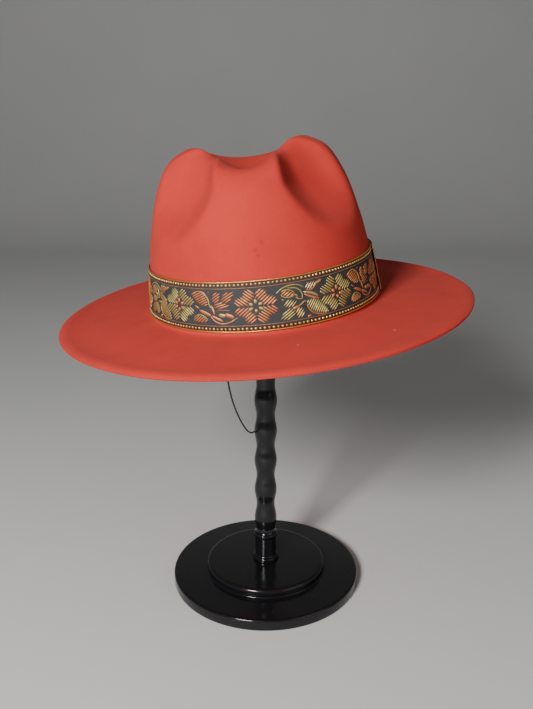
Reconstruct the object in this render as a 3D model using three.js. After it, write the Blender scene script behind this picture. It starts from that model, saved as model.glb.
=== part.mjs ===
// A felt fedora with a woven ribbon, resting on a turned wooden hat stand.
// Millimetres, +Z up. The hat's front faces -Y, and the origin is the centre of the stand's foot.
import * as THREE from "three";
import { ParametricGeometry } from "three/addons/geometries/ParametricGeometry.js";

const { degToRad, lerp, euclideanModulo, smoothstep } = THREE.MathUtils;

// Clearance between pieces that touch
const SEAT_GAP = 0.3;

// Felt body
const FELT = 2.2; // thickness of the felt
const ROOT_HALF_WIDTH = 84.5; // outside of the crown where it meets the brim
const ROOT_HALF_LENGTH = 99;
const ROOT_FILLET = 2.5;
const CROWN_LEAN = 0.024; // the crown leans to the wearer's right, in mm for each mm up
const FELT_AROUND = 50; // facets round the hat and rings down the crown
const FRONT_CROWDING = 0.35; // the facets are closer together round the dented front
const CROWN_RINGS = 24;
const RING_CROWDING = 0.45; // the rings are closer together at the dents than at the top and the ribbon

// How the hat sits on the stand
const HAT_ASIDE = -0.7;
const HAT_BACK = 1.1;
const HAT_RISE = 238.3; // brim root above the foot
const HAT_ROLL = degToRad(5.2); // the wearer's right side is the lower one
const HAT_PITCH = degToRad(0.7); // the back is a little higher than the front

// The crown as it leaves the block, from its top to the brim, before it is dented by hand
const CROWN_LEVELS = [
  { halfWidth: 0, halfLength: 0, rise: 119.5 },
  { halfWidth: 14, halfLength: 19, rise: 119 },
  { halfWidth: 30, halfLength: 40, rise: 116.5 },
  { halfWidth: 45.5, halfLength: 57, rise: 112.6 },
  { halfWidth: 57, halfLength: 70, rise: 105.4 },
  { halfWidth: 64.8, halfLength: 79, rise: 93 },
  { halfWidth: 70.5, halfLength: 85.5, rise: 79 },
  { halfWidth: 76.2, halfLength: 91.5, rise: 58 },
  { halfWidth: 80.3, halfLength: 95.5, rise: 36 },
  { halfWidth: ROOT_HALF_WIDTH, halfLength: ROOT_HALF_LENGTH, rise: ROOT_FILLET },
];

// The brim's upper face in section, out from the crown: a flat sweep, a low crest and a turned-down edge
const BRIM_SECTION = [
  { reach: 0, rise: ROOT_FILLET },
  { reach: 0.75, rise: 0.75 },
  { reach: ROOT_FILLET, rise: 0 },
  { reach: 18, rise: -0.8 },
  { reach: 36, rise: -1.9 },
  { reach: 50, rise: -2.8 },
  { reach: 57.5, rise: -2.6 },
  { reach: 62, rise: -2.1 },
  { reach: 65.6, rise: -2.8 },
  { reach: 67.8, rise: -4.3 },
];

// The two thumb dents that pinch the front, steep beside the nose and shallow towards the sides.
// Their places down the crown are shares of the way from its top to the brim.
const PINCH = {
  turn: degToRad(39), // middle of a dent, round from the front
  swing: degToRad(55), // how far its lower half swings to the side
  noseSpread: degToRad(21),
  sideSpread: degToRad(39),
  middle: 0.555,
  above: 0.36,
  below: 0.185,
  depth: 23,
  inward: 0.3, // share of the push that goes to the middle, and to the back
  backward: 0.95,
};

// The crease along the top, a teardrop that narrows to the front
const CREASE_DEPTH = 29;
const CREASE_HALF_LENGTH = 82;
const CREASE_OUTLINE = [
  { along: -82, halfWidth: 27 },
  { along: -60, halfWidth: 27 },
  { along: -40, halfWidth: 28.5 },
  { along: -20, halfWidth: 36 },
  { along: 5, halfWidth: 43.5 },
  { along: 30, halfWidth: 45 },
  { along: 55, halfWidth: 41 },
  { along: 82, halfWidth: 34 },
];

// Ribbon: one strip that starts under its own lapped end
const RIBBON_WIDTH = 32.5;
const RIBBON = 1; // thickness
const RIBBON_RISE = 2.6; // lower edge above the brim root
const RIBBON_END = degToRad(80); // the turned-under end, at the wearer's left side
const RIBBON_LAP = degToRad(16);
const RIBBON_RAMP = degToRad(14); // where the strip climbs on to its own start
const RIBBON_STEPS = 60;

// Stand
const BASE_SECTION = [
  { radius: 0, rise: 0 },
  { radius: 74.8, rise: 0 },
  { radius: 76.3, rise: 1.4 },
  { radius: 76.3, rise: 7 },
  { radius: 75.6, rise: 8.5 },
  { radius: 74, rise: 9.2 },
  { radius: 50.2, rise: 9.6 },
  { radius: 48.9, rise: 10.4 },
  { radius: 48.6, rise: 12.6 },
  { radius: 47.9, rise: 14.6 },
  { radius: 46.4, rise: 16 },
  { radius: 44, rise: 16.6 },
  { radius: 0, rise: 16.6 },
];
const COLLAR_SECTION = [
  { radius: 10.6, rise: 16.9 },
  { radius: 10.6, rise: 19 },
  { radius: 9, rise: 20.2 },
  { radius: 8.6, rise: 29 },
  { radius: 8.6, rise: 37 },
  { radius: 9.6, rise: 38.4 },
  { radius: 9.6, rise: 40.4 },
  { radius: 8, rise: 41.6 },
];
const BEADS = 5;
const BEAD_PITCH = 25.6;
const FIRST_BEAD = 54.2; // middle of the lowest bead above the foot
const BEAD_RADIUS = 9;
const NECK_RADIUS = 7.3;
const BEAD_STEPS = 6;
const SHANK_RADIUS = 7.5; // plain shank above the beads
const TOP_RADIUS = 42; // rounded top that carries the crown
const TOP_DOME = 15;
const TOP_HEIGHT = 24;
const POST_SIDES = 20;
const BASE_SIDES = 40;

// Cord: two ends caught inside the crown, at the front and the back, and a loose loop behind the post
const CORD_RADIUS = 0.6;
const CORD_SIDES = 8;
const CORD_STEPS = 80;
const CORD_ROUTE = [
  [-29.5, -88, 245],
  [-29.5, -88, 238],
  [-28.5, -86, 226],
  [-27, -80.5, 212],
  [-25.5, -72, 197],
  [-24.5, -65.5, 187.5],
  [-22.9, -57, 176],
  [-20, -44.5, 161.5],
  [-15.6, -25, 143.5],
  [-12.7, -11, 134],
  [-9.95, 3, 128],
  [-6.3, 20, 126],
  [-2, 40, 132.5],
  [2.3, 60, 151],
  [5.4, 75, 175],
  [7.9, 86, 205],
  [9.6, 94.2, 233],
  [10, 95.6, 240],
  [10, 95.5, 246],
];

// Reads a column of a table at a value of its key column, along straight lines between the rows.
function lookUp(rows, key, value, column) {
  const next = rows.findIndex((row) => row[key] >= value);
  if (next === 0) return rows[0][column];
  if (next < 0) return rows.at(-1)[column];
  const before = rows[next - 1];
  const share = (value - before[key]) / (rows[next][key] - before[key]);
  return lerp(before[column], rows[next][column], share);
}

const bump = (distance) => (distance < 1 ? (1 - distance ** 2.6) ** 2 : 0);

// Pushes a point of the blocked crown in at the two pinches, then down into the crease, then aside.
function dent(point, turn, path) {
  const down = path - PINCH.middle;
  const around = Math.abs(turn) - PINCH.turn - PINCH.swing * Math.max(0, down);
  const acrossPinch = around / (around < 0 ? PINCH.noseSpread : PINCH.sideSpread);
  const alongPinch = down / (down < 0 ? PINCH.above : PINCH.below);
  const push = PINCH.depth * bump(Math.hypot(acrossPinch, alongPinch));
  point.x -= Math.sign(turn) * PINCH.inward * push;
  point.y += PINCH.backward * push;
  const across = Math.min(1, Math.abs(point.x) / lookUp(CREASE_OUTLINE, "along", point.y, "halfWidth"));
  const lengthwise = Math.max(0, 1 - (point.y / CREASE_HALF_LENGTH) ** 2) ** 1.2;
  point.z -= CREASE_DEPTH * lengthwise * (1 - across ** 2) ** 2;
  point.z += CROWN_LEAN * point.x * (point.z / 100);
  point.x -= CROWN_LEAN * point.z;
  return point;
}

const crownCurve = new THREE.CatmullRomCurve3(
  CROWN_LEVELS.map((row) => new THREE.Vector3(row.halfWidth, row.halfLength, row.rise)),
);
const brimCurve = new THREE.CatmullRomCurve3(
  BRIM_SECTION.map((row) => new THREE.Vector3(row.reach, row.rise, 0)),
);

// A point of the felt's outer face. turn is 0 at the front and grows to the wearer's left;
// path runs 0 to 1 down the crown from its top, and 1 to 2 out along the brim.
function feltFace(turn, path) {
  if (path <= 1) {
    const level = crownCurve.getPointAt(path);
    const point = new THREE.Vector3(level.x * Math.sin(turn), -level.y * Math.cos(turn), level.z);
    return dent(point, euclideanModulo(turn + Math.PI, 2 * Math.PI) - Math.PI, path);
  }
  const section = brimCurve.getPoint(path - 1);
  return new THREE.Vector3(
    (ROOT_HALF_WIDTH + section.x) * Math.sin(turn) - CROWN_LEAN * section.y,
    -(ROOT_HALF_LENGTH + section.x) * Math.cos(turn),
    section.y,
  );
}

// The outward direction of the felt's outer face.
function feltNormal(turn, path) {
  const step = 0.004;
  const nearTop = Math.max(path, 0.01);
  const down = feltFace(turn, Math.min(nearTop + step, 2)).sub(feltFace(turn, nearTop - step));
  const round = feltFace(turn + step, nearTop).sub(feltFace(turn - step, nearTop));
  return down.cross(round).normalize();
}

// Sweeps a closed section through a row of stations; the first and last close to a point.
function sweep(place, steps, sides) {
  return new ParametricGeometry((u, v, target) => target.copy(place((1 - u) * sides, v * steps)), sides, steps);
}

// Crown and brim as one wall: down the outside, round the brim's edge and up the inside.
function feltBody() {
  const paths = [];
  for (let ring = 0; ring <= CROWN_RINGS; ring++) {
    const even = ring / CROWN_RINGS;
    paths.push(even + (RING_CROWDING / (2 * Math.PI)) * Math.sin(2 * Math.PI * even));
  }
  const brimSteps = BRIM_SECTION.length - 1;
  for (let row = 1; row <= brimSteps; row++) paths.push(1 + row / brimSteps);
  const last = paths.length - 1;
  const place = (side, step) => {
    const inside = step > last;
    const path = paths[Math.round(inside ? 2 * last + 1 - step : step)];
    const even = (2 * Math.PI * Math.round(side)) / FELT_AROUND;
    const turn = path === 0 ? Math.PI : even - FRONT_CROWDING * Math.sin(even);
    return feltFace(turn, path).addScaledVector(feltNormal(turn, path), inside ? -FELT : 0);
  };
  return sweep(place, 2 * last + 1, FELT_AROUND);
}

// How far down the crown a height lies, for the plain wall under the dents.
function wallPath(rise) {
  let [low, high] = [0.6, 1];
  for (let halving = 0; halving < 30; halving++) {
    const middle = (low + high) / 2;
    if (crownCurve.getPointAt(middle).z > rise) low = middle;
    else high = middle;
  }
  return low;
}

function ribbonBand() {
  const span = 2 * Math.PI + RIBBON_LAP;
  const rows = [RIBBON_RISE, RIBBON_RISE + RIBBON_WIDTH / 2, RIBBON_RISE + RIBBON_WIDTH].map(wallPath);
  const section = [
    ...rows.map((path) => ({ path, outside: 0 })),
    ...rows.toReversed().map((path) => ({ path, outside: RIBBON })),
  ];
  const place = (side, step) => {
    const strip = Math.min(Math.max(step - 1, 0), RIBBON_STEPS) / RIBBON_STEPS;
    const turned = strip * span;
    const turn = RIBBON_END + RIBBON_LAP - turned;
    const climb = smoothstep(turned, 2 * Math.PI - RIBBON_RAMP, 2 * Math.PI);
    const lift = SEAT_GAP + climb * (RIBBON + SEAT_GAP);
    const { path, outside } = section[Math.round(side) % section.length];
    const capped = step < 0.5 || step > RIBBON_STEPS + 1.5;
    const at = capped ? { path: rows[1], outside: RIBBON / 2 } : { path, outside };
    return feltFace(turn, at.path).addScaledVector(feltNormal(turn, at.path), lift + at.outside);
  };
  return sweep(place, RIBBON_STEPS + 2, section.length);
}

// A solid turned about the stand's axis from rows of radius and rise.
function turned(rows, sides) {
  const profile = rows.map((row) => new THREE.Vector2(row.radius, row.rise));
  return new THREE.LatheGeometry(profile, sides).rotateX(Math.PI / 2);
}

const hat = new THREE.Group();
hat.position.set(HAT_ASIDE, HAT_BACK, HAT_RISE);
hat.rotation.set(HAT_PITCH, -HAT_ROLL, 0);
hat.updateMatrix();

const feltGeometry = feltBody();

// How much lower the stand's rounded top is at a radius than in its middle.
const domeFall = (radius) => TOP_DOME * (radius / TOP_RADIUS) ** 2;

// Height of the stand's top, just under the inside of the crown.
function topRise() {
  const points = feltGeometry.getAttribute("position");
  const point = new THREE.Vector3();
  let rise = Infinity;
  for (let index = 0; index < points.count; index++) {
    point.fromBufferAttribute(points, index).applyMatrix4(hat.matrix);
    const radius = Math.hypot(point.x, point.y);
    if (radius < TOP_RADIUS) rise = Math.min(rise, point.z + domeFall(radius));
  }
  return rise - SEAT_GAP;
}

const topAt = topRise();

function standTop() {
  const rim = topAt - TOP_DOME;
  const under = topAt - TOP_HEIGHT;
  const rows = [{ radius: 0, rise: under }, { radius: TOP_RADIUS - 9, rise: under }];
  rows.push({ radius: TOP_RADIUS - 2.5, rise: under + 3 }, { radius: TOP_RADIUS, rise: rim - 2 });
  for (let ring = 7; ring >= 0; ring--) {
    const radius = (TOP_RADIUS * ring) / 7;
    rows.push({ radius, rise: topAt - domeFall(radius) });
  }
  return turned(rows, POST_SIDES);
}

function standPost() {
  const rows = [{ radius: 0, rise: COLLAR_SECTION[0].rise }, ...COLLAR_SECTION];
  for (let step = -2; step <= BEADS * BEAD_STEPS - BEAD_STEPS / 2; step++) {
    const wave = Math.cos((2 * Math.PI * step) / BEAD_STEPS);
    const radius = lerp(NECK_RADIUS, BEAD_RADIUS, (1 + wave) / 2);
    rows.push({ radius, rise: FIRST_BEAD + (BEAD_PITCH * step) / BEAD_STEPS });
  }
  const end = topAt - TOP_HEIGHT - SEAT_GAP;
  rows.push({ radius: SHANK_RADIUS, rise: rows.at(-1).rise + 4 });
  rows.push({ radius: SHANK_RADIUS, rise: end }, { radius: 0, rise: end });
  return turned(rows, POST_SIDES);
}

function hangCord() {
  const round = new THREE.Shape().absarc(0, 0, CORD_RADIUS, 0, 2 * Math.PI);
  const section = new THREE.Shape(round.getPoints(CORD_SIDES).slice(0, CORD_SIDES));
  const route = new THREE.CatmullRomCurve3(CORD_ROUTE.map((at) => new THREE.Vector3(...at)));
  return new THREE.ExtrudeGeometry(section, { steps: CORD_STEPS, bevelEnabled: false, extrudePath: route });
}

const finish = (color, roughness) => new THREE.MeshStandardMaterial({ color, roughness, metalness: 0 });

function piece(name, geometry, material) {
  const mesh = new THREE.Mesh(geometry, material);
  mesh.name = name;
  return mesh;
}

hat.add(piece("felt_body", feltGeometry, finish(0xb8403a, 0.95)));
hat.add(piece("ribbon_band", ribbonBand(), finish(0x3a3020, 0.6)));

const fedora = new THREE.Group();
fedora.add(hat);
fedora.add(piece("stand_base", turned(BASE_SECTION, BASE_SIDES), finish(0x0c0c0d, 0.2)));
fedora.add(piece("stand_post", standPost(), finish(0x0c0c0d, 0.2)));
fedora.add(piece("stand_top", standTop(), finish(0x0c0c0d, 0.3)));
fedora.add(piece("hang_cord", hangCord(), finish(0x101010, 0.8)));

export default fedora;
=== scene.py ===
import math

import bmesh
import bpy
import numpy as np
from mathutils import Matrix, Vector, noise


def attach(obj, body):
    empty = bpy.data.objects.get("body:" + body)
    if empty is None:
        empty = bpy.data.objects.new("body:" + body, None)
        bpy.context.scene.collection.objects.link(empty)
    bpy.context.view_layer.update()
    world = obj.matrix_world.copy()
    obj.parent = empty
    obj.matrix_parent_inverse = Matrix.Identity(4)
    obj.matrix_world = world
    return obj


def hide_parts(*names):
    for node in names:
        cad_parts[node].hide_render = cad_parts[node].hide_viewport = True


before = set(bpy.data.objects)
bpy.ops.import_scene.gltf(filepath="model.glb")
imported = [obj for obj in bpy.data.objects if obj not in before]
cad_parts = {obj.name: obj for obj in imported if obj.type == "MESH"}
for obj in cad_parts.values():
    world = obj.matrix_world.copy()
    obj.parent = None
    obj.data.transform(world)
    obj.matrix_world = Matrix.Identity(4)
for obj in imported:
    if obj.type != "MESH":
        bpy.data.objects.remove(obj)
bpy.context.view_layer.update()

mm = 0.001
body = "root"
fullTurn = 2 * math.pi

# camera, where the photograph was taken from

cameraView = {
    "place": (0.0007, -0.5669, 0.3698),
    "downTilt": 17.24,  # degrees below level
    "lens": 39.14,
    "sensorHeight": 36,
    "clipStart": 0.01,
}

cameraData = bpy.data.cameras.new("camera")
cameraData.sensor_fit = "VERTICAL"
cameraData.sensor_height = cameraView["sensorHeight"]
cameraData.lens = cameraView["lens"]
cameraData.clip_start = cameraView["clipStart"]
camera = bpy.data.objects.new("camera", cameraData)
camera.location = cameraView["place"]
camera.rotation_euler = (math.radians(90 - cameraView["downTilt"]), 0, 0)
bpy.context.collection.objects.link(camera)
bpy.context.scene.camera = camera

# shader helpers

colorSocket = "NodeSocketColor"
floatSocket = "NodeSocketFloat"
groupOutputs = [("Color", colorSocket), ("Height", floatSocket), ("Roughness", floatSocket)]
mixSockets = {"share": 0, "first": 6, "second": 7, "result": 2}  # the colour sockets of a mix node


def addNode(tree, kind, values=None, **settings):
    node = tree.nodes.new(kind)
    for key, value in settings.items():
        setattr(node, key, value)
    for key, value in (values or {}).items():
        node.inputs[key].default_value = value
    return node


def feed(tree, socket, value):
    if isinstance(value, (int, float, tuple)):
        socket.default_value = value
    else:
        tree.links.new(value, socket)


def calc(tree, operation, *values):
    node = addNode(tree, "ShaderNodeMath", operation=operation)
    for socket, value in zip(node.inputs, values):
        feed(tree, socket, value)
    return node.outputs[0]


# a wave between -1 and 1 as a share between 0 and 1
def waveShare(tree, wave):
    return calc(tree, "MULTIPLY_ADD", wave, 0.5, 0.5)


def spread(tree, value, source, result=(0.0, 1.0)):
    node = addNode(tree, "ShaderNodeMapRange", interpolation_type="SMOOTHSTEP")
    tree.links.new(value, node.inputs["Value"])
    for key, number in zip(("From Min", "From Max", "To Min", "To Max"), (*source, *result)):
        node.inputs[key].default_value = number
    return node.outputs["Result"]


def blendColors(tree, share, first, second):
    node = addNode(tree, "ShaderNodeMix", data_type="RGBA")
    for key, value in (("share", share), ("first", first), ("second", second)):
        feed(tree, node.inputs[mixSockets[key]], value)
    return node.outputs[mixSockets["result"]]


def grainNoise(tree, coords, scale, detail=3.0, roughness=0.55):
    node = addNode(tree, "ShaderNodeTexNoise", {"Scale": scale, "Detail": detail, "Roughness": roughness})
    tree.links.new(coords, node.inputs["Vector"])
    return node.outputs["Fac"]


def makeGroup(name, inputs):
    tree = bpy.data.node_groups.new(name, "ShaderNodeTree")
    for label, kind, value in inputs:
        socket = tree.interface.new_socket(label, in_out="INPUT", socket_type=kind)
        socket.default_value = value
    for label, kind in groupOutputs:
        tree.interface.new_socket(label, in_out="OUTPUT", socket_type=kind)
    return tree, tree.nodes.new("NodeGroupInput"), tree.nodes.new("NodeGroupOutput")


def closeGroup(tree, out, color, height, roughness):
    for label, value in (("Color", color), ("Height", height), ("Roughness", roughness)):
        tree.links.new(value, out.inputs[label])
    return tree


def useGroup(tree, group, values=None):
    return addNode(tree, "ShaderNodeGroup", values, node_tree=group)


def splitMap(tree, coords):
    apart = addNode(tree, "ShaderNodeSeparateXYZ")
    tree.links.new(coords, apart.inputs[0])
    return apart.outputs


def makeMaterial(name, surface):
    material = bpy.data.materials.new(name)
    material.use_nodes = True
    tree = material.node_tree
    shader = tree.nodes["Principled BSDF"]
    for key, value in surface.items():
        shader.inputs[key].default_value = value
    return material, tree, shader


def wire(tree, shader, color, roughness, height, bump):
    tree.links.new(color, shader.inputs["Base Color"])
    tree.links.new(roughness, shader.inputs["Roughness"])
    node = addNode(tree, "ShaderNodeBump", bump)
    tree.links.new(height, node.inputs["Height"])
    tree.links.new(node.outputs["Normal"], shader.inputs["Normal"])


# soft nap: cloudy colour, pale fibre ends and a fibrous height

napLook = {
    "cloud": {"Detail": 4, "Roughness": 0.6},
    "fibre": {"Detail": 5, "Roughness": 0.7, "Distortion": 1.4},
    "cloudRange": (0.35, 0.75),
    "cloudShare": (0, 0.45),
    "fibreRange": (0.5, 0.8),
    "fibreShare": (0, 0.35),
    "roughRange": (0.3, 0.7),
    "roughness": (0.86, 0.97),
}


def makeNapGroup():
    tree, given, out = makeGroup(
        "feltNap",
        [
            ("Base", colorSocket, (0.5, 0.06, 0.045, 1)),
            ("Deep", colorSocket, (0.3, 0.03, 0.03, 1)),
            ("Pale", colorSocket, (0.7, 0.2, 0.15, 1)),
            ("Cloud Size", floatSocket, 26),
            ("Fibre Size", floatSocket, 900),
        ],
    )
    coords = addNode(tree, "ShaderNodeTexCoord").outputs["Object"]
    grains = []
    for look, size in (("cloud", "Cloud Size"), ("fibre", "Fibre Size")):
        node = addNode(tree, "ShaderNodeTexNoise", napLook[look])
        tree.links.new(coords, node.inputs["Vector"])
        tree.links.new(given.outputs[size], node.inputs["Scale"])
        grains.append(node.outputs["Fac"])
    cloud, fibre = grains
    deepShare = spread(tree, cloud, napLook["cloudRange"], napLook["cloudShare"])
    clouded = blendColors(tree, deepShare, given.outputs["Base"], given.outputs["Deep"])
    paleShare = spread(tree, fibre, napLook["fibreRange"], napLook["fibreShare"])
    napped = blendColors(tree, paleShare, clouded, given.outputs["Pale"])
    roughness = spread(tree, cloud, napLook["roughRange"], napLook["roughness"])
    return closeGroup(tree, out, napped, fibre, roughness)


# twisted yarn: slanting plies along the thread's own map, with painted shade darkening one flank of each ply,
# over random darker patches

twistLook = {
    "patchSize": 240,
    "patchDetail": 2,
    "patchRange": (0.4, 0.7),
    "patchShare": (0, 0.4),
    "plyShadeShare": 0.35,
    "roughRange": (0.3, 0.7),
    "roughness": (0.3, 0.48),
}


def makeTwistGroup():
    tree, given, out = makeGroup(
        "threadTwist",
        [
            ("Base", colorSocket, (0.6, 0.3, 0.1, 1)),
            ("Deep", colorSocket, (0.2, 0.08, 0.03, 1)),
            ("Ply Length", floatSocket, 0.55),
        ],
    )
    coords = addNode(tree, "ShaderNodeTexCoord")
    apart = splitMap(tree, coords.outputs["UV"])
    along = calc(tree, "DIVIDE", apart["X"], given.outputs["Ply Length"])
    phase = calc(tree, "MULTIPLY", calc(tree, "ADD", along, apart["Y"]), fullTurn)
    ply = waveShare(tree, calc(tree, "SINE", phase))
    patchy = grainNoise(tree, coords.outputs["Object"], twistLook["patchSize"], twistLook["patchDetail"])
    patches = spread(tree, patchy, twistLook["patchRange"], twistLook["patchShare"])
    # painted shade along the ply wave, added to the random patches of darker tone
    share = calc(tree, "MULTIPLY_ADD", ply, twistLook["plyShadeShare"], patches)
    color = blendColors(tree, share, given.outputs["Base"], given.outputs["Deep"])
    roughness = spread(tree, patchy, twistLook["roughRange"], twistLook["roughness"])
    return closeGroup(tree, out, color, ply, roughness)


# close weave on a map in millimetres: weft ribs crossed by finer warp

weaveLook = {
    "patchSize": 160,
    "patchRange": (0.3, 0.7),
    "patchShare": (0.3, 0.9),
    "roughness": (0.55, 0.75),
}


def makeWeaveGroup():
    tree, given, out = makeGroup(
        "ribbonWeave",
        [
            ("Base", colorSocket, (0.03, 0.03, 0.03, 1)),
            ("Pale", colorSocket, (0.08, 0.08, 0.08, 1)),
            ("Rib Pitch", floatSocket, 0.62),
            ("Warp Pitch", floatSocket, 0.45),
        ],
    )
    coords = addNode(tree, "ShaderNodeTexCoord")
    apart = splitMap(tree, coords.outputs["UV"])
    waves = []
    for axis, pitch in (("Y", "Rib Pitch"), ("X", "Warp Pitch")):
        turns = calc(tree, "DIVIDE", apart[axis], given.outputs[pitch])
        waves.append(calc(tree, "SINE", calc(tree, "MULTIPLY", turns, fullTurn)))
    height = waveShare(tree, calc(tree, "MULTIPLY", *waves))
    patchy = grainNoise(tree, coords.outputs["Object"], weaveLook["patchSize"])
    patches = spread(tree, patchy, weaveLook["patchRange"], weaveLook["patchShare"])
    share = calc(tree, "MULTIPLY", height, patches)
    color = blendColors(tree, share, given.outputs["Base"], given.outputs["Pale"])
    roughness = spread(tree, patchy, weaveLook["patchRange"], weaveLook["roughness"])
    return closeGroup(tree, out, color, height, roughness)


# lacquer that has been handled: faint dust and uneven gloss

scuffLook = {
    "cloud": {"scale": 34, "detail": 5, "roughness": 0.65},
    "specks": {"scale": 900, "detail": 2, "roughness": 0.5},
    "waves": {"scale": 60, "detail": 2},
    "speckRange": (0.6, 0.75),
    "cloudRange": (0.4, 0.7),
    "cloudShare": (0.2, 1),
    "dustRoughness": 0.18,
    "glossRange": (0.35, 0.7),
    "gloss": (0.15, 0.24),
}


def makeScuffGroup():
    tree, given, out = makeGroup(
        "lacquerScuff",
        [
            ("Base", colorSocket, (0.006, 0.006, 0.007, 1)),
            ("Dust", colorSocket, (0.12, 0.11, 0.1, 1)),
            ("Dust Share", floatSocket, 0.12),
        ],
    )
    coords = addNode(tree, "ShaderNodeTexCoord").outputs["Object"]
    cloud = grainNoise(tree, coords, **scuffLook["cloud"])
    specks = spread(tree, grainNoise(tree, coords, **scuffLook["specks"]), scuffLook["speckRange"])
    patches = spread(tree, cloud, scuffLook["cloudRange"], scuffLook["cloudShare"])
    dusty = calc(tree, "MULTIPLY", specks, patches)
    share = calc(tree, "MULTIPLY", dusty, given.outputs["Dust Share"])
    color = blendColors(tree, share, given.outputs["Base"], given.outputs["Dust"])
    gloss = spread(tree, cloud, scuffLook["glossRange"], scuffLook["gloss"])
    roughness = calc(tree, "MULTIPLY_ADD", dusty, scuffLook["dustRoughness"], gloss)
    return closeGroup(tree, out, color, grainNoise(tree, coords, **scuffLook["waves"]), roughness)


napGroup = makeNapGroup()
twistGroup = makeTwistGroup()
weaveGroup = makeWeaveGroup()
scuffGroup = makeScuffGroup()
print("shader groups made")

# felt: coral wool, matte, with a few worn and linty spots

feltFinish = {
    "nap": {
        "Base": (0.52, 0.038, 0.028, 1),
        "Deep": (0.37, 0.028, 0.025, 1),
        "Pale": (0.68, 0.09, 0.06, 1),
    },
    "worn": (0.36, 0.014, 0.014, 1),
    "wornShare": 0.4,
    "wornDepth": -0.8,
    "wornSpots": [
        {"place": (-0.0064, -0.0921, 0.29), "reach": 0.0018},
        {"place": (-0.002, -0.091, 0.2948), "reach": 0.0014},
        {"place": (-0.0044, -0.0927, 0.2866), "reach": 0.0014},
    ],
    "lint": (0.75, 0.48, 0.4, 1),
    "lintShare": 0.7,
    "lintSpots": [
        {"place": (0.0805, -0.1046, 0.2422), "reach": 0.0007},
        {"place": (0.0195, -0.1209, 0.2374), "reach": 0.0007},
    ],
    "ragged": {"scale": 700, "detail": 4, "roughness": 0.7},
    # of a spot's reach: how ragged it is, where it starts to fade and where it ends
    "raggedness": 1.6,
    "fadeStart": 1.1,
    "fadeEnd": 2.0,
    "bump": {"Strength": 0.35, "Distance": 0.0005},
    "surface": {
        "Specular IOR Level": 0.15,
        "Sheen Weight": 0.07,
        "Sheen Roughness": 0.5,
        "Sheen Tint": (1, 0.4, 0.3, 1),
    },
}


def spotMask(tree, coords, spots, ragged):
    total = None
    for spot in spots:
        away = addNode(tree, "ShaderNodeVectorMath", operation="DISTANCE")
        away.inputs[1].default_value = spot["place"]
        tree.links.new(coords, away.inputs[0])
        ripple = spot["reach"] * feltFinish["raggedness"]
        edge = calc(tree, "MULTIPLY_ADD", ragged, ripple, away.outputs["Value"])
        fade = [spot["reach"] * feltFinish[key] for key in ("fadeStart", "fadeEnd")]
        mask = spread(tree, edge, fade, (1, 0))
        total = mask if total is None else calc(tree, "MAXIMUM", total, mask)
    return total


def makeFeltMaterial():
    material, tree, shader = makeMaterial("coralFelt", feltFinish["surface"])
    nap = useGroup(tree, napGroup, feltFinish["nap"])
    coords = addNode(tree, "ShaderNodeTexCoord").outputs["Object"]
    ragged = grainNoise(tree, coords, **feltFinish["ragged"])
    worn = spotMask(tree, coords, feltFinish["wornSpots"], ragged)
    lint = spotMask(tree, coords, feltFinish["lintSpots"], ragged)
    color = nap.outputs["Color"]
    for mask, spot in ((worn, "worn"), (lint, "lint")):
        share = calc(tree, "MULTIPLY", mask, feltFinish[spot + "Share"])
        color = blendColors(tree, share, color, feltFinish[spot])
    height = calc(tree, "MULTIPLY_ADD", worn, feltFinish["wornDepth"], nap.outputs["Height"])
    wire(tree, shader, color, nap.outputs["Roughness"], height, feltFinish["bump"])
    return material


# ribbon ground: charcoal field between browner borders

ribbonFinish = {
    "field": {"Base": (0.026, 0.028, 0.029, 1), "Pale": (0.06, 0.063, 0.064, 1)},
    "border": {
        "Base": (0.03, 0.02, 0.019, 1),
        "Pale": (0.06, 0.038, 0.033, 1),
        "Rib Pitch": 0.9,
        "Warp Pitch": 0.5,
    },
    "middle": 16.25,
    "fieldHalf": 11.9,
    "edgeBlur": 0.1,
    "bump": {"Strength": 0.4, "Distance": 0.0002},
    "surface": {"Specular IOR Level": 0.35},
}


def makeRibbonMaterial():
    material, tree, shader = makeMaterial("charcoalRibbon", ribbonFinish["surface"])
    apart = splitMap(tree, addNode(tree, "ShaderNodeTexCoord").outputs["UV"])
    fromMiddle = calc(tree, "ABSOLUTE", calc(tree, "SUBTRACT", apart["Y"], ribbonFinish["middle"]))
    edge = [ribbonFinish["fieldHalf"] + side * ribbonFinish["edgeBlur"] for side in (-1, 1)]
    field = useGroup(tree, weaveGroup, ribbonFinish["field"])
    border = useGroup(tree, weaveGroup, ribbonFinish["border"])
    inBorder = spread(tree, fromMiddle, edge)
    color = blendColors(tree, inBorder, field.outputs["Color"], border.outputs["Color"])
    wire(tree, shader, color, field.outputs["Roughness"], field.outputs["Height"], ribbonFinish["bump"])
    return material


# each yarn's colour, and the deeper colour that both the painted ply shade and the random patches blend
# towards
threadFinish = {
    "copper": {"base": (0.78, 0.3, 0.1, 1), "deep": (0.32, 0.08, 0.03, 1), "metallic": 0.5},
    "olive": {"base": (0.56, 0.45, 0.14, 1), "deep": (0.2, 0.15, 0.04, 1), "metallic": 0.5},
    "gold": {"base": (0.95, 0.52, 0.12, 1), "deep": (0.5, 0.2, 0.04, 1), "metallic": 0.9},
    "silver": {"base": (0.75, 0.58, 0.26, 1), "deep": (0.3, 0.2, 0.08, 1), "metallic": 0.85},
    "bronze": {"base": (0.3, 0.17, 0.1, 1), "deep": (0.1, 0.05, 0.035, 1), "metallic": 0.3},
}
threadGloss = 0.6
threadBump = {"Strength": 0.35, "Distance": 0.00012}


def makeThreadMaterial(shade):
    finish = threadFinish[shade]
    surface = {"Metallic": finish["metallic"], "Specular IOR Level": threadGloss}
    material, tree, shader = makeMaterial(shade + "Thread", surface)
    twist = useGroup(tree, twistGroup, {"Base": finish["base"], "Deep": finish["deep"]}).outputs
    wire(tree, shader, twist["Color"], twist["Roughness"], twist["Height"], threadBump)
    return material


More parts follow.
